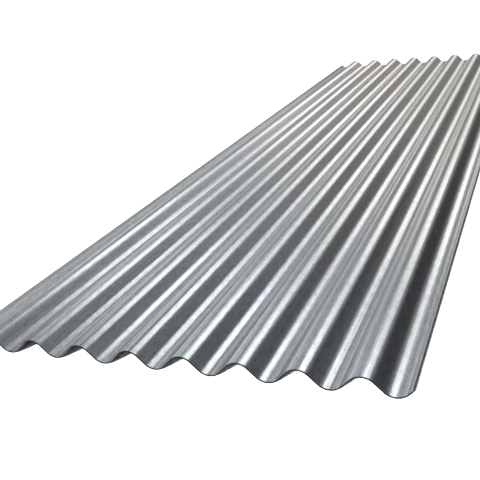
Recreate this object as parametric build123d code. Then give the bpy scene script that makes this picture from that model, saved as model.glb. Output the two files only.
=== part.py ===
from build123d import *
import os
from math import cos, radians, tan

# One sheet of zinc-coated steel, roll-formed across its width into rounded waves. It lies flat
# on its troughs, with X across the waves, Y along them and Z up. Each wave is two straight
# flanks joined by bends of one radius. Both side edges are slit square to the metal, part of
# the way up from the outermost troughs, and both ends are sheared square.

# Driving dimensions, in millimetres and degrees
pitch = 76.2  # from one crest to the next
depth = 23.0  # from the underside of a trough to the top of a crest
thickness = 1.0  # the steel with the zinc on both its faces
flank_angle = 45.0  # between a straight flank and the level
crest_count = 8  # whole waves between the two outermost troughs
edge_run = 18.0  # across from an outermost trough to the side edge
length = 2200.0  # along the waves

# The wave along the middle of the metal: a zigzag with its corners rounded
rise = depth - thickness
half_pitch = pitch / 2
cover_width = crest_count * pitch
half_width = cover_width / 2 + edge_run
zigzag_height = half_pitch * tan(radians(flank_angle))
corner_loss = 1 / cos(radians(flank_angle)) - 1
bend_radius = (zigzag_height - rise) / (2 * corner_loss)


def point_across(line, across):
    """The point of a wave line that lies this far across the sheet."""
    upright = Edge.make_line((across, -depth), (across, depth))
    return line.intersect(upright).vertices()[0]


def wave_line():
    """The middle of the metal from side edge to side edge, with X across and Y up.

    Half the height of the wave is at zero. The zigzag has a wave to spare past each outermost
    trough, and ends at the side edges, wherever they fall on the wave.
    """
    spare_count = 2
    corners = []
    for number in range(-spare_count, 2 * crest_count + spare_count + 1):
        is_trough = number % 2 == 0
        height = -zigzag_height / 2 if is_trough else zigzag_height / 2
        corners.append((number * half_pitch - cover_width / 2, height))
    zigzag = FilletPolyline(*corners, radius=bend_radius).wire()
    left_end = point_across(zigzag, -half_width)
    right_end = point_across(zigzag, half_width)
    return zigzag.trim(Vector(left_end), Vector(right_end))


def section():
    """The cut through the metal: both faces run beside the wave line, half the thickness off."""
    middle = wave_line()
    top_face = middle.offset_2d(thickness / 2, side=Side.LEFT, closed=False)
    under_face = middle.offset_2d(thickness / 2, side=Side.RIGHT, closed=False)
    left_edge = Line(
        top_face.vertices().sort_by(Axis.X).first,
        under_face.vertices().sort_by(Axis.X).first,
    )
    right_edge = Line(
        top_face.vertices().sort_by(Axis.X).last,
        under_face.vertices().sort_by(Axis.X).last,
    )
    outline = Wire([*top_face.edges(), *under_face.edges(), left_edge, right_edge])
    return make_face(outline)


def corrugated_sheet():
    """The section drawn out along Y to both ends, with its troughs on the floor."""
    sheet = extrude(Plane.XZ * section(), amount=length / 2, both=True)
    return Pos(0, 0, depth / 2) * sheet


os.makedirs("parts", exist_ok=True)
sheet = corrugated_sheet()
export_step(sheet, "parts/corrugated_sheet.step")

print("bend radius", round(bend_radius, 2), "mm at the middle of the metal")
print("width of the flat strip", round(wave_line().length, 1), "mm")
print("overall size", sheet.bounding_box().size)
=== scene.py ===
# %% [markdown]
# # A corrugated sheet of zinc-coated steel
#
# The real thing starts as a flat strip of steel, dipped in zinc and cut to length. Pairs of
# shaped rolls then press it, a little more at each pair, into rounded waves that run along it.
# It is one piece of metal, so this scene has one piece.
#
# The solid model of the sheet is the frame of the scene. It has the true sizes, but its bends
# are flats a few millimetres wide, and a mirror-like metal shows every one of them. So the
# sheet is worked out again here, from the same sizes, as a finer surface in the same place.

# %% Load the frame
from math import cos, pi, radians, sin, tan

import bpy
import numpy as np
from mathutils import Matrix, Vector


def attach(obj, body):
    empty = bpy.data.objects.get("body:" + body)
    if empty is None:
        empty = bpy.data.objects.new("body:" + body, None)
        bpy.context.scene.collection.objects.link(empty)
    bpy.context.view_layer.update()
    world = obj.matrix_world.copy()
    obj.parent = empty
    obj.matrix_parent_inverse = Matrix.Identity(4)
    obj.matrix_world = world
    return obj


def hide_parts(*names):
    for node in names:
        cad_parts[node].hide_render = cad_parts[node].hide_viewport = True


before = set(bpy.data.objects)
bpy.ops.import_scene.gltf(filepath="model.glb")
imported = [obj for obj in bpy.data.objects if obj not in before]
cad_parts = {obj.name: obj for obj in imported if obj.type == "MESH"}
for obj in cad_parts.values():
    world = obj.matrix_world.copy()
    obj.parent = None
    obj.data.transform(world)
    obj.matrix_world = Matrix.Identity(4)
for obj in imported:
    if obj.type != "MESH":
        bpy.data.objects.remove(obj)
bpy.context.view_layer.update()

# %% [markdown]
# ## The sizes of the wave
#
# A rolled wave is not a sine curve. The rolls are turned with one radius, and the metal runs
# straight where no roll touches it, so each wave is two straight flanks joined by round bends.
# With the pitch, the depth and the slope of the flanks given, only one radius fits: the flank
# lines cross in a zigzag higher than the wave, and the bend has to take off the difference.

# %% Sizes of the sheet, in metres
pitch = 0.0762
depth = 0.023
thickness = 0.001
flank_slope = radians(45)
crest_count = 8
edge_run = 0.018
length = 2.2

half_pitch = pitch / 2
rise = depth - thickness
bend_radius = (half_pitch * tan(flank_slope) - rise) / (2 * (1 / cos(flank_slope) - 1))
bend_half = bend_radius * flank_slope
flank = (half_pitch - 2 * bend_radius * sin(flank_slope)) / cos(flank_slope)
metal_per_bend = 2 * bend_half + flank
straight_out = (edge_run - bend_radius * sin(flank_slope)) / cos(flank_slope)
strip_half = crest_count * metal_per_bend + bend_half + straight_out
print("bend radius", round(bend_radius * 1000, 2), "mm")
print("flat strip", round(strip_half * 2000, 1), "mm wide")

# %% [markdown]
# ## Where a point of the flat strip ends up
#
# The first parameter is the place on the flat strip, measured across it from the middle. It is
# the best one for sheet metal, because rolling bends the strip and doesn't stretch it: evenly
# spaced columns on the strip stay evenly spaced round every bend, and so do the marks on it.
#
# The strip is divided into equal stretches, each with a bend at its middle and half a flank at
# each end. Even stretches bend up into troughs, odd ones bend down into crests.


# %% The line through the middle of the metal
def wave(strip):
    """Across, height and slope of the metal's middle at places on the flat strip.

    The bend's number is the place divided by the metal per bend, rounded. From the bend's
    middle, the turn grows by distance over radius until it reaches the flank's slope. In the
    bend, across grows by radius times the sine of the turn, and height by radius times one
    less its cosine. What is left of the distance goes straight on at the flank's slope.
    """
    number = np.round(strip / metal_per_bend)
    along = strip - number * metal_per_bend
    turn = np.clip(along / bend_radius, -flank_slope, flank_slope)
    left = along - turn * bend_radius
    upward = np.where(number % 2 == 0, 1.0, -1.0)
    across = number * half_pitch + bend_radius * np.sin(turn) + left * cos(flank_slope)
    gain = bend_radius * (1 - np.cos(turn)) + np.abs(left) * sin(flank_slope)
    low, high = thickness / 2, depth - thickness / 2
    height = np.where(upward > 0, low + gain, high - gain)
    return across, height, upward * turn


sample = np.linspace(-strip_half, strip_half, 2001)
across, height, slope = wave(sample)
print("middle of the metal reaches", round(across.max(), 5), "m across")
print("and", round(height.max(), 5), "m up")

# %% [markdown]
# ## What rolling does to a true surface
#
# New sheet looks straight, but its reflections waver. The strip has slack in places, which
# shows as long shallow swells of about a tenth of a millimetre. The rolls leave ridges ten
# times as faint, which run the whole length. A displacement texture could add both, but it
# would need a far finer mesh, so they are sums of sine waves, worked out with the shape. They
# move the metal squarely to its own face, and both faces move together, so the thickness
# stays true.

# %% Swells and roll ridges
swell_height = 0.00004
ridge_height = 0.000004


def relief(strip, run):
    """How far the metal stands off its true place, in metres, at places across and along it.

    The swells are five slow sine waves with different lengths and directions, added up. The
    ridges depend on the place across alone, so that they run straight from end to end.
    """
    draw = np.random.default_rng(7)
    swell = np.zeros(np.broadcast(strip, run).shape)
    for size in (1.0, 0.8, 0.6, 0.5, 0.4):
        long_way = draw.uniform(2, 9)
        wide_way = draw.uniform(3, 14)
        start = draw.uniform(0, 2 * pi)
        swell = swell + size * np.sin(long_way * run + wide_way * strip + start)
    ridges = np.zeros(np.shape(strip))
    for size in (1.0, 0.7, 0.5):
        close = draw.uniform(600, 1500)
        start = draw.uniform(0, 2 * pi)
        ridges = ridges + size * np.sin(close * strip + start)
    return swell_height * swell + ridge_height * ridges


sample_run = np.linspace(-length / 2, length / 2, 50)
sample_relief = relief(sample[:, None], sample_run[None, :])
print("relief within", round(float(np.abs(sample_relief).max()) * 1000, 3), "mm")

# %% [markdown]
# ## Folding the profile into a closed sheet
#
# The sheet could be one face given a thickness by a Solidify modifier. Here both faces are
# computed instead, each half a thickness from the middle, because the edges then get corners
# of their own: a cut edge is a band with two sharp borders. The blade pulls the top face down
# as it cuts, so the last half millimetre rolls over, and the steps of the grid get shorter
# there to follow it.
#
# The profile is a loop: over the top face from left to right, down the right edge, and back
# along the underside. Carried along the sheet it makes the skin, and the two ends are closed
# with a strip of quads between the top and underside points.

# %% Grid of the sheet
columns_between = 901
rows_between = 41
fine_reach = 0.0014
edge_steps = np.array([0.0, 0.0001, 0.0002, 0.0004, 0.0006, 0.0009])


def finer_at_ends(half, count):
    """Even steps from end to end, and short steps over the last millimetre at each end."""
    middle = np.linspace(-half + fine_reach, half - fine_reach, count)
    return np.concatenate([edge_steps - half, middle, half - edge_steps[::-1]])


place = finer_at_ends(strip_half, columns_between)
run = finer_at_ends(length / 2, rows_between)
columns, rows = len(place), len(run)
print(columns, "columns and", rows, "rows")

# %% Points of both faces
roll_over_width = 0.0006
roll_over_depth = 0.00025


def edge_drop(spot, half):
    """How far a blade pulls the top face down: a parabola that ends where the roll-over ends."""
    gap = half - np.abs(spot)
    return roll_over_depth * np.clip(1 - gap / roll_over_width, 0, 1) ** 2


def face_points(side):
    """Points of the top face (side 1) or the underside (side -1), as rows by columns by three.

    A point is the middle of the metal, moved along the normal by half the thickness and the
    relief. The normal of a slope is minus its sine across and its cosine up. The top face also
    loses the roll-over of the nearer edge, whichever drops more.
    """
    across, height, slope = wave(place)
    off = side * thickness / 2 + relief(place[None, :], run[:, None])
    if side > 0:
        side_drop = edge_drop(place, strip_half)[None, :]
        end_drop = edge_drop(run, length / 2)[:, None]
        off = off - np.maximum(side_drop, end_drop)
    x = across[None, :] - np.sin(slope)[None, :] * off
    z = height[None, :] + np.cos(slope)[None, :] * off
    y = np.broadcast_to(run[:, None], x.shape)
    return np.stack([x, y, z], axis=-1)


top_points = face_points(1)
under_points = face_points(-1)
points = np.concatenate([top_points.reshape(-1, 3), under_points.reshape(-1, 3)])
# The swells may not sink the troughs into the floor or lift the crests past the true depth
points[:, 2] = np.clip(points[:, 2], 0.0, depth)
print(len(points), "points")

# %% Faces of the sheet
top_number = np.arange(rows * columns).reshape(rows, columns)
under_number = top_number + rows * columns


def quads(a, b, c, d):
    """Four grids of corner numbers as one list of quads."""
    return np.stack([a, b, c, d], axis=-1).reshape(-1, 4)


def patch(grid):
    """The quads between neighbouring rows and columns of a grid, anticlockwise from its front."""
    return quads(grid[:-1, :-1], grid[:-1, 1:], grid[1:, 1:], grid[1:, :-1])


def band(under, top):
    """The quads between a line of underside points and the line of top points over it."""
    return quads(under[:-1], under[1:], top[1:], top[:-1])


top_faces = patch(top_number)
under_faces = patch(under_number)[:, ::-1]
near_end = band(under_number[0], top_number[0])
far_end = band(under_number[-1, ::-1], top_number[-1, ::-1])
left_edge = band(under_number[::-1, 0], top_number[::-1, 0])
right_edge = band(under_number[:, -1], top_number[:, -1])
faces = np.concatenate([top_faces, under_faces, near_end, far_end, left_edge, right_edge])
sheared_from = len(top_faces) + len(under_faces)
sheared_to = sheared_from + len(near_end) + len(far_end)
print(len(faces), "quads, of which", sheared_to - sheared_from, "on the sheared ends")

# %% Mesh of the sheet
mesh = bpy.data.meshes.new("zinc_sheet")
mesh.vertices.add(len(points))
mesh.vertices.foreach_set("co", points.astype(np.float32).ravel())
mesh.loops.add(faces.size)
mesh.loops.foreach_set("vertex_index", faces.astype(np.int32).ravel())
mesh.polygons.add(len(faces))
mesh.polygons.foreach_set("loop_start", np.arange(0, faces.size, 4, dtype=np.int32))
mesh.update(calc_edges=True)
mesh.polygons.foreach_set("use_smooth", np.ones(len(faces), bool))
mesh.validate()
sharp_from = radians(40)
mesh.set_sharp_from_angle(angle=sharp_from)
sheet = bpy.data.objects.new("zinc_sheet", mesh)
bpy.context.scene.collection.objects.link(sheet)
print(sheet.name, len(mesh.vertices), "vertices and", len(mesh.polygons), "faces")

# %% [markdown]
# ## Marks that follow the metal
#
# Everything that happened to the strip before and during rolling lies on the flat strip, so
# the surface carries the strip's own measure: across it and along it, in metres, as a UV map.
# Patterns on the object's own coordinates would be stretched on the steep flanks instead.
#
# A second value says which faces were sheared when the sheet was cut to length. They are painted
# dark, partly as bare steel and partly as painted shadow. The two long edges are the strip's own,
# and have zinc on them.

# %% Strip coordinates and sheared faces
strip_of_point = np.concatenate([np.tile(place, rows)] * 2)
run_of_point = np.concatenate([np.repeat(run, columns)] * 2)
corner = faces.ravel()
strip_of_corner = np.stack([strip_of_point[corner], run_of_point[corner]], axis=-1)
strip_map = mesh.uv_layers.new(name="strip")
strip_map.uv.foreach_set("vector", strip_of_corner.astype(np.float32).ravel())
is_sheared = np.zeros(len(faces), np.float32)
is_sheared[sheared_from:sheared_to] = 1
sheared_mark = mesh.attributes.new("cut", "FLOAT", "FACE")
sheared_mark.data.foreach_set("value", is_sheared)
print("strip map from", strip_of_point.min().round(4), "to", strip_of_point.max().round(4), "m")

# %% [markdown]
# ## A few helpers for materials
#
# A material is a graph of small steps. These helpers add one step each and join it to the
# steps that feed it, so that a recipe reads from top to bottom.


# %% Helpers for nodes
def feed(tree, socket, value):
    """Joins a socket to another step's result, or sets it to a plain value."""
    if isinstance(value, bpy.types.NodeSocket):
        tree.links.new(value, socket)
    else:
        socket.default_value = value


def step(tree, kind, settings=None, **inputs):
    """Adds a node of a kind, sets its properties, and feeds its inputs.

    An input is named by its own words with _ for a space, or by _ and its number.
    """
    node = tree.nodes.new(kind)
    for name, value in (settings or {}).items():
        setattr(node, name, value)
    for name, value in inputs.items():
        key = int(name[1:]) if name[1:].isdigit() else name.replace("_", " ")
        feed(tree, node.inputs[key], value)
    return node


def sum_up(tree, operation, a, b=0.0, c=0.0):
    """One line of arithmetic on one to three numbers."""
    return step(tree, "ShaderNodeMath", {"operation": operation}, _0=a, _1=b, _2=c).outputs[0]


def ramp(tree, value, low, high, to_low=0.0, to_high=1.0, smooth=True):
    """Turns a range of a value into another range, held at both ends."""
    kind = {"interpolation_type": "SMOOTHSTEP" if smooth else "LINEAR", "clamp": True}
    node = step(tree, "ShaderNodeMapRange", kind, Value=value)
    ends = {"From Min": low, "From Max": high, "To Min": to_low, "To Max": to_high}
    for name, number in ends.items():
        feed(tree, node.inputs[name], number)
    return node.outputs[0]


def blend(tree, share, a, b):
    """Mixes two colours."""
    node = step(tree, "ShaderNodeMix", {"data_type": "RGBA"})
    for place_in_list, value in ((0, share), (6, a), (7, b)):
        feed(tree, node.inputs[place_in_list], value)
    return node.outputs[2]


print("helpers ready")

# %% [markdown]
# ## The finish: zinc
#
# Zinc freezes on the steel in flat crystals a few millimetres wide, each with its own shade.
# Under them is a fine grain and a coarser mottle. Rolling then draws lines along the sheet:
# fine ones that are strongest next to each bend, where the rolls press hardest, and broad faint
# ones everywhere. Both show more to the left, where the rolls pressed harder. The colour drifts
# a little between violet and green from patch to patch.
#
# The crystals are a Voronoi pattern on the flat strip, and the rest is noise, stretched along
# the strip for the lines. The distance to the nearest bend gives the fine lines their depth.

# %% Patterns on the strip
zinc = bpy.data.materials.new("zinc_coating")
zinc.use_nodes = True
tree = zinc.node_tree
tree.nodes.clear()
strip_place = step(tree, "ShaderNodeUVMap", {"uv_map": "strip"}).outputs[0]
strip_across, strip_along, _ = step(tree, "ShaderNodeSeparateXYZ", Vector=strip_place).outputs


def scaled(across, along):
    """The place on the strip, with each direction multiplied by its own number."""
    settings = {"vector_type": "POINT"}
    scale = (across, along, 1.0)
    return step(tree, "ShaderNodeMapping", settings, Vector=strip_place, Scale=scale).outputs[0]


def noise(across, along, detail, roughness):
    """Noise from 0 to 1, with this many grains to the metre across the strip and along it."""
    looks = {"Scale": 1.0, "Detail": detail, "Roughness": roughness}
    return step(tree, "ShaderNodeTexNoise", Vector=scaled(across, along), **looks).outputs[0]


crystal_place = scaled(across=420.0, along=260.0)
crystal = step(tree, "ShaderNodeTexVoronoi", {"feature": "F1"}, Vector=crystal_place, Scale=1.0)
crystal_shade = step(tree, "ShaderNodeSeparateColor", Color=crystal.outputs["Color"]).outputs[0]
fine_noise = noise(across=380.0, along=0.8, detail=3.0, roughness=0.6)
broad_noise = noise(across=120.0, along=0.4, detail=2.0, roughness=0.5)
grain = noise(across=480.0, along=240.0, detail=3.0, roughness=0.7)
mottle = noise(across=170.0, along=60.0, detail=3.0, roughness=0.6)
cloud = noise(across=26.0, along=5.0, detail=3.0, roughness=0.55)

# The lines are the noise with its middle part spread out, from -1 for dark to 1 for bright
fine_spread, broad_spread = (0.41, 0.59), (0.34, 0.66)
fine_lines = ramp(tree, fine_noise, *fine_spread, -1.0, 1.0)
broad_lines = ramp(tree, broad_noise, *broad_spread, -1.0, 1.0)
print("crystals, two sorts of line, grain, mottle and cloud")

# %% How strong the roll lines are
hard_press_to, light_press_from = -0.34, 0.15
hard_press, light_press = 1.8, 0.65
line_at_bend, line_on_flank = 0.10, 0.02
bend_reach, flank_reach = 0.005, 0.013
broad_strength = 0.032

press = ramp(tree, strip_across, hard_press_to, light_press_from, hard_press, light_press)
from_bend = sum_up(tree, "PINGPONG", strip_across, metal_per_bend / 2)
line_strength = ramp(tree, from_bend, bend_reach, flank_reach, line_at_bend, line_on_flank)
line_depth = sum_up(tree, "MULTIPLY", line_strength, press)
broad_depth = sum_up(tree, "MULTIPLY", press, broad_strength)
print("fine lines from", line_on_flank, "to", line_at_bend, "of the shade, times the press")

# %% Shade of the zinc
plain_shade = 0.50
crystal_share, grain_share, mottle_share = 0.06, 0.47, 0.36
# The grain and the mottle lie round 0.5 and so lighten the shade, which this takes off again
noise_middle = 0.42

shade = sum_up(tree, "MULTIPLY_ADD", crystal_shade, crystal_share, plain_shade)
shade = sum_up(tree, "MULTIPLY_ADD", fine_lines, line_depth, shade)
shade = sum_up(tree, "MULTIPLY_ADD", broad_lines, broad_depth, shade)
shade = sum_up(tree, "MULTIPLY_ADD", grain, grain_share, shade)
shade = sum_up(tree, "MULTIPLY_ADD", mottle, mottle_share, shade)
shade = sum_up(tree, "SUBTRACT", shade, noise_middle)
print("shade of", len(tree.nodes), "nodes")

# %% [markdown]
# ## The lap edge and the cut ends
#
# The metal next to the left edge has a duller finish, and a painted shade that darkens it and
# hides the lip's highlight, more so towards the far end. The sheared ends are bare steel, dark
# and rough, and so is a thin line of the top face beside them, where the blade dragged the zinc
# off; their dark colour is partly bare steel and partly painted shadow along the ends. Painted
# textures could show both. Masks worked out from the place on the strip need no picture, and
# follow the metal round the bends.

# %% Dulled lap edge with painted shade, and tints
dull_inside, dull_outside = -0.361, -0.371
painted_shade_deepens = (0.20, 0.90)
painted_shade_near, painted_shade_far = 0.86, 0.64
violet_red, violet_blue = 1.0, 1.045
green_red, green_blue = 0.967, 0.985
violet_to_green = (0.38, 0.62)

# The lip is rougher below, and here its colour is darkened as painted shade, most towards the far
# end.
dull_and_painted_shade_lip = ramp(tree, strip_across, dull_outside, dull_inside, 1.0, 0.0)
painted_lip_shade = ramp(tree, strip_along, *painted_shade_deepens, painted_shade_near, painted_shade_far)
lip_painted_shade = ramp(tree, dull_and_painted_shade_lip, 0.0, 1.0, 1.0, painted_lip_shade, smooth=False)
shade = sum_up(tree, "MULTIPLY", shade, lip_painted_shade)


def tinted(red, blue):
    """The shade as a colour, with its red and blue multiplied by their own numbers."""
    red_shade = sum_up(tree, "MULTIPLY", shade, red)
    blue_shade = sum_up(tree, "MULTIPLY", shade, blue)
    shades = {"Red": red_shade, "Green": shade, "Blue": blue_shade}
    return step(tree, "ShaderNodeCombineColor", **shades).outputs[0]


violet_zinc = tinted(violet_red, violet_blue)
green_zinc = tinted(green_red, green_blue)
metal_colour = blend(tree, ramp(tree, cloud, *violet_to_green), violet_zinc, green_zinc)
print("violet and green zinc mixed")

# %% Bare steel and painted shadow at the sheared ends
bare_and_shadow_reach, dark_line_ends = 0.0010, 0.0026
# The sheared faces and a line of the top face beside them get this dark colour: partly bare
# steel, partly painted shadow along the ends.
bare_steel_and_shadow_paint = (0.045, 0.045, 0.05, 1.0)

sheared_face = step(tree, "ShaderNodeAttribute", {"attribute_name": "cut"}).outputs["Fac"]
end_gap = sum_up(tree, "SUBTRACT", length / 2, sum_up(tree, "ABSOLUTE", strip_along))
sheared_and_shadow_line = ramp(tree, end_gap, bare_and_shadow_reach, dark_line_ends, 1.0, 0.0)
bare_steel_and_shadow_mask = sum_up(tree, "MAXIMUM", sheared_face, sheared_and_shadow_line)
colour = blend(tree, bare_steel_and_shadow_mask, metal_colour, bare_steel_and_shadow_paint)
print("bare steel", bare_and_shadow_reach * 1000, "to", dark_line_ends * 1000, "mm in from the ends")

# %% [markdown]
# ## Gloss
#
# Zinc gives two reflections at once: a fairly sharp one from the smooth faces of the crystals,
# and a haze from the grain between them. One roughness can only be a value between the two,
# which blurs the borders of the highlights. So two metals of the same colour are mixed, one
# sharp and one hazy. Lines, grain and mottle also tilt the surface a little, through a bump.

# %% Roughness and bump
sharp_roughness, grain_roughness, line_roughness = 0.17, 0.06, 0.004
dull_roughness, steel_roughness = 0.50, 0.55
rough_grain = (0.50, 0.75)
extra_haze, least_haze = 0.18, 0.30
line_height, grain_height, mottle_height = 0.045, 0.4, 0.8
bump_depth = 0.00012

roughness = sum_up(tree, "MULTIPLY_ADD", fine_lines, line_roughness, sharp_roughness)
added = ramp(tree, grain, *rough_grain, 0.0, grain_roughness)
roughness = sum_up(tree, "ADD", roughness, added)
dull_finish = sum_up(tree, "MULTIPLY", dull_and_painted_shade_lip, dull_roughness)
roughness = sum_up(tree, "MAXIMUM", roughness, dull_finish)
roughness = ramp(tree, bare_steel_and_shadow_mask, 0.0, 1.0, roughness, steel_roughness, smooth=False)
haze_roughness = sum_up(tree, "ADD", roughness, extra_haze)
haze_roughness = sum_up(tree, "MAXIMUM", haze_roughness, least_haze)

height_map = sum_up(tree, "MULTIPLY", grain, grain_height)
height_map = sum_up(tree, "MULTIPLY_ADD", fine_lines, line_height, height_map)
height_map = sum_up(tree, "MULTIPLY_ADD", mottle, mottle_height, height_map)
heights = {"Strength": 1.0, "Distance": bump_depth, "Height": height_map}
bump = step(tree, "ShaderNodeBump", **heights).outputs[0]
print("bump of", round(bump_depth * 1000, 2), "mm")

# %% Two metals mixed
haze_share = 0.29


def bright_metal(roughness):
    """Bare metal of the worked-out colour and bump, with its own roughness."""
    looks = {"Base_Color": colour, "Metallic": 1.0, "Roughness": roughness, "Normal": bump}
    return step(tree, "ShaderNodeBsdfPrincipled", **looks).outputs[0]


sharp_metal = bright_metal(roughness)
hazy_metal = bright_metal(haze_roughness)
surface = step(tree, "ShaderNodeMixShader", _0=haze_share, _1=sharp_metal, _2=hazy_metal)
step(tree, "ShaderNodeOutputMaterial", Surface=surface.outputs[0])
mesh.materials.append(zinc)
print(zinc.name, len(tree.nodes), "nodes")

# %% Join the sheet to the frame
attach(sheet, "root")
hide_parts("corrugated_sheet")

# %% [markdown]
# ## The studio
#
# Bright metal shows its surroundings more than its own colour. Along the waves, a mirrored ray
# keeps the part of its direction that runs along the sheet, and only turns about it. So two
# numbers say what a wave shows: the lean of a direction, left or right of upright, seen from
# the end of the sheet, and the part of it that runs along the sheet, ahead or back.
#
# The highlights need two long soft lamps that hang over the sheet end to end, with a dim gap
# between them. To their left is a grey wall with a window low down in it, and to their right
# the room falls off through dusk to black. Area lamps and boards could build the same studio.
# Painting it on the sky needs no geometry, and gives soft light without noise.
#
# Mirrored rays that hardly run along the sheet meet one wide lamp and a plain fill, which light
# the sheet for a look from its side. The camera itself gets a plain white backdrop.

# %% Directions in the studio
world = bpy.data.worlds.new("studio")
bpy.context.scene.world = world
world.use_nodes = True
sky = world.node_tree
sky.nodes.clear()
aim = step(sky, "ShaderNodeTexCoord").outputs["Generated"]
across_aim, along_aim, up_aim = step(sky, "ShaderNodeSeparateXYZ", Vector=aim).outputs
lean = sum_up(sky, "DEGREES", sum_up(sky, "ARCTAN2", across_aim, sum_up(sky, "ABSOLUTE", up_aim)))
ahead = sum_up(sky, "ABSOLUTE", along_aim)


def shift(start, end, share):
    """The strength that lies a share of the way from one strength to another."""
    return sum_up(sky, "MULTIPLY_ADD", share, sum_up(sky, "SUBTRACT", end, start), start)


print("sky read by its lean and by how far ahead it is")

# %% Lamps from near to far
before_lamps = 0.36
near_lamp = 2.45
lamp_gap = 0.92
far_lamp = 2.15
past_lamps = 1.12
side_lamp = 1.75

near_lamp_begins = (0.665, 0.745)
gap_begins = (0.79, 0.853)
gap_ends = (0.92, 0.872)
far_lamp_begins = (0.86, 0.92)
lamps_end = (0.943, 0.968)
side_begins = (0.58, 0.40)

in_gap = sum_up(sky, "MULTIPLY", ramp(sky, ahead, *gap_begins), ramp(sky, ahead, *gap_ends))
past_gap = ramp(sky, ahead, *far_lamp_begins)
from_side = ramp(sky, ahead, *side_begins)
lamps = shift(before_lamps, near_lamp, ramp(sky, ahead, *near_lamp_begins))
lamps = shift(lamps, far_lamp, past_gap)
lamps = shift(lamps, lamp_gap, in_gap)
lamps = shift(lamps, past_lamps, ramp(sky, ahead, *lamps_end))
lamps = shift(lamps, side_lamp, from_side)
print("two lamps, with a gap between them")

# %% Wall to the left, with a window low down in it
near_wall = 0.45
bright_wall = 0.74
far_wall = 0.46
end_wall = 0.29
wall_brightens = (0.68, 0.745)
wall_dims = (0.79, 0.86)
wall_ends = (0.90, 0.935)

wall_light = shift(near_wall, bright_wall, ramp(sky, ahead, *wall_brightens))
wall_light = shift(wall_light, far_wall, ramp(sky, ahead, *wall_dims))
wall_light = shift(wall_light, end_wall, ramp(sky, ahead, *wall_ends))

# The top of the wall, in the shade of the lamps
near_shade = 0.48
mid_shade = 0.42
gap_shade = 0.53
far_shade = 0.34
shade_dims = (0.70, 0.76)
shade_brightens = (0.78, 0.84)
top_of_wall = (-58.0, -38.0)

shade_light = shift(near_shade, mid_shade, ramp(sky, ahead, *shade_dims))
shade_light = shift(shade_light, gap_shade, ramp(sky, ahead, *shade_brightens))
shade_light = shift(shade_light, far_shade, past_gap)
light = ramp(sky, lean, *top_of_wall, wall_light, shade_light)

window_light = 0.44
window_sill = (-72.0, -54.0)
window_head = (-34.0, -48.0)
window_near_side = (0.64, 0.69)
window_far_side = (0.78, 0.72)

window = sum_up(sky, "MULTIPLY", ramp(sky, lean, *window_sill), ramp(sky, lean, *window_head))
window = sum_up(sky, "MULTIPLY", window, ramp(sky, ahead, *window_far_side))
window = sum_up(sky, "MULTIPLY", window, ramp(sky, ahead, *window_near_side))
light = sum_up(sky, "MULTIPLY_ADD", window, window_light, light)
print("wall set")

# %% Where the lamps begin and end from left to right, in degrees of lean
far_half = (0.775, 0.84)
far_room = (0.91, 0.955)
lamps_narrow = (0.92, 0.955)
black_widens = (0.82, 0.90)
near_rise, far_rise = (-24.0, -8.0), (-38.0, -6.0)
near_fall, far_fall, gap_fall = (20.0, 34.0), (17.0, 45.0), (13.0, 48.0)
narrow_fall_ends = 33.0
dark_reached = 55.0
black_begins = 56.0
near_black, far_black = 77.0, 70.0

far_share = ramp(sky, ahead, *far_half)
rises_from = shift(near_rise[0], far_rise[0], far_share)
rises_to = shift(near_rise[1], far_rise[1], far_share)
falls_from = shift(shift(near_fall[0], far_fall[0], past_gap), gap_fall[0], in_gap)
falls_to = shift(shift(near_fall[1], far_fall[1], past_gap), gap_fall[1], in_gap)
falls_to = shift(falls_to, narrow_fall_ends, ramp(sky, ahead, *lamps_narrow))
fades_to = shift(near_black, far_black, ramp(sky, ahead, *black_widens))
print("lamps between", near_rise, "and", near_fall, "degrees at the near end")

# %% The sky from left to right
dusk, gap_dusk, far_dusk = 0.23, 0.31, 0.36
dark, far_dark = 0.115, 0.33
black = 0.01
side_fill = 0.30
side_fill_begins = (25.0, 45.0)

in_far_room = ramp(sky, ahead, *far_room)
dusk_light = shift(shift(dusk, far_dusk, in_far_room), gap_dusk, in_gap)
dark_light = shift(dark, far_dark, in_far_room)
light = shift(light, lamps, ramp(sky, lean, rises_from, rises_to))
light = shift(light, dusk_light, ramp(sky, lean, falls_from, falls_to))
light = shift(light, dark_light, ramp(sky, lean, falls_to, dark_reached))
light = shift(light, black, ramp(sky, lean, black_begins, fades_to))
filled = sum_up(sky, "MULTIPLY", from_side, ramp(sky, lean, *side_fill_begins))
light = shift(light, side_fill, filled)
print("lamps, dusk, dark and black")

# %% Colours of the studio light
plain = (1.0, 1.0, 1.0, 1.0)
cool = (0.955, 1.0, 1.04, 1.0)
warm = (1.055, 1.0, 0.93, 1.0)
cool_dark = (0.91, 1.0, 1.10, 1.0)

cool_begins = (0.50, 0.66)
cool_ends = (0.855, 0.895)
warm_begins = (0.905, 0.96)
cool_dark_begins = (22.0, 44.0)
cool_dark_ends = (0.88, 0.84)
plain_black = (56.0, 68.0)

tint = blend(sky, ramp(sky, ahead, *cool_begins), plain, cool)
tint = blend(sky, ramp(sky, ahead, *cool_ends), tint, plain)
tint = blend(sky, ramp(sky, ahead, *warm_begins), tint, warm)
cool_dark_share = ramp(sky, lean, *cool_dark_begins)
cool_dark_share = sum_up(sky, "MULTIPLY", cool_dark_share, ramp(sky, ahead, *cool_dark_ends))
tint = blend(sky, cool_dark_share, tint, cool_dark)
tint = blend(sky, ramp(sky, lean, *plain_black), tint, plain)
print("cool near, warm far")

# %% What the camera and the floor get from the sky
backdrop_light = 1.0
floor_light = 0.06

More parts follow.
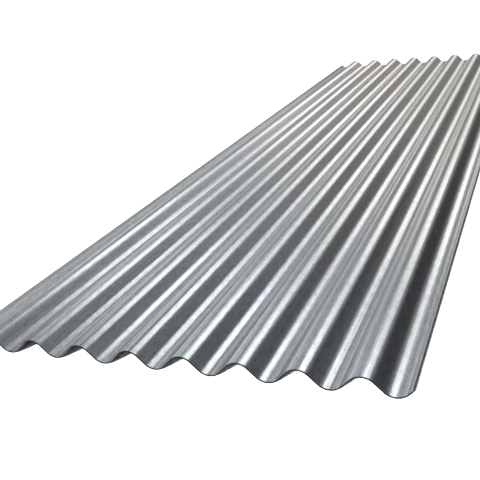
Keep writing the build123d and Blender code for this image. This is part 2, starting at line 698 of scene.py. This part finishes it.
light_path = step(sky, "ShaderNodeLightPath").outputs
seen = light_path["Is Camera Ray"]
by_floor = light_path["Is Diffuse Ray"]
light = shift(light, backdrop_light, seen)
light = shift(light, floor_light, by_floor)
tint = blend(sky, seen, tint, plain)
backdrop = step(sky, "ShaderNodeBackground", Strength=light, Color=tint)
step(sky, "ShaderNodeOutputWorld", Surface=backdrop.outputs[0])
print("sky of", len(sky.nodes), "nodes")

# %% [markdown]
# ## The floor
#
# A plain pale floor, wide enough to reach the horizon behind the far end. A broad lamp low in
# front of the sheet lights it past white, as in a picture on a bright ground, so only the close
# shadow along the edges and under the waves stays dark. The sky gives the floor next to
# nothing, so that this shadow keeps its depth.
#
# The lamp is hidden from reflections, because the metal would show it as a spot. The paint is
# pale to the camera and darker to the metal: a white floor all round would fill the shaded
# flanks and the underside with light that the real studio doesn't have.

# %% Floor
floor_half = 60.0
floor_gap = 0.0001
seen_paint = (0.80, 0.80, 0.80, 1.0)
mirrored_paint = (0.32, 0.32, 0.32, 1.0)

floor_mesh = bpy.data.meshes.new("studio_floor")
floor_sides = ((-1, -1), (1, -1), (1, 1), (-1, 1))
floor_corners = [(x * floor_half, y * floor_half, 0.0) for x, y in floor_sides]
floor_mesh.from_pydata(floor_corners, [], [(0, 1, 2, 3)])
floor = bpy.data.objects.new("studio_floor", floor_mesh)
bpy.context.scene.collection.objects.link(floor)
floor.location.z = -floor_gap
paint = bpy.data.materials.new("floor_paint")
paint.use_nodes = True
coat_tree = paint.node_tree
coat_tree.nodes.clear()
on_camera = step(coat_tree, "ShaderNodeLightPath").outputs["Is Camera Ray"]
floor_colour = blend(coat_tree, on_camera, mirrored_paint, seen_paint)
matt = step(coat_tree, "ShaderNodeBsdfDiffuse", Color=floor_colour)
step(coat_tree, "ShaderNodeOutputMaterial", Surface=matt.outputs[0])
floor_mesh.materials.append(paint)
print("floor", 2 * floor_half, "m square")

# %% Lamp for the floor
lamp_ray = Vector((0.055, 1.9, -1.0))
lamp_width = radians(8)
lamp_energy = 16.0
lamp_way_back = 3

lamp_data = bpy.data.lights.new("floor_lamp", "SUN")
lamp_data.angle = lamp_width
lamp_data.energy = lamp_energy
lamp = bpy.data.objects.new("floor_lamp", lamp_data)
bpy.context.scene.collection.objects.link(lamp)
lamp_turn = lamp_ray.to_track_quat("-Z", "Y").to_matrix().to_4x4()
lamp.matrix_world = Matrix.Translation(lamp_ray * -lamp_way_back) @ lamp_turn
lamp.visible_glossy = False
lamp.visible_camera = False
print("floor lamp on, at", lamp_data.energy, "watts a square metre")

# %% [markdown]
# ## The camera
#
# The picture is taken from off the near right corner, a little over half a metre in front of
# the sheet's end and less than half a metre above it, looking along the waves and to the left.
# So near a lens spreads the near end out and draws the far end together. The camera's axes are
# given by the way that it is turned from +Y, the way that it looks down, and a small roll.

# %% Camera
image_side = 480
sensor_width = 36.0
nearest, furthest = 0.01, 200.0
focal_pixels = 716.3
camera_place = Vector((0.44877, -1.76373, 0.47421))
turned_left = radians(24.81)
looking_down = radians(21.62)
rolled = radians(-7.54)

camera_data = bpy.data.cameras.new("camera")
camera_data.sensor_width = sensor_width
camera_data.lens = sensor_width * focal_pixels / image_side
camera_data.clip_start = nearest
camera_data.clip_end = furthest
camera = bpy.data.objects.new("camera", camera_data)
bpy.context.scene.collection.objects.link(camera)
heading = Matrix.Rotation(turned_left, 4, "Z")
tilt = Matrix.Rotation(pi / 2 - looking_down, 4, "X")
roll = Matrix.Rotation(rolled, 4, "Z")
camera.matrix_world = Matrix.Translation(camera_place) @ heading @ tilt @ roll
bpy.context.scene.camera = camera
bpy.context.scene.view_settings.view_transform = "Standard"
print("lens", round(camera_data.lens, 2), "mm")
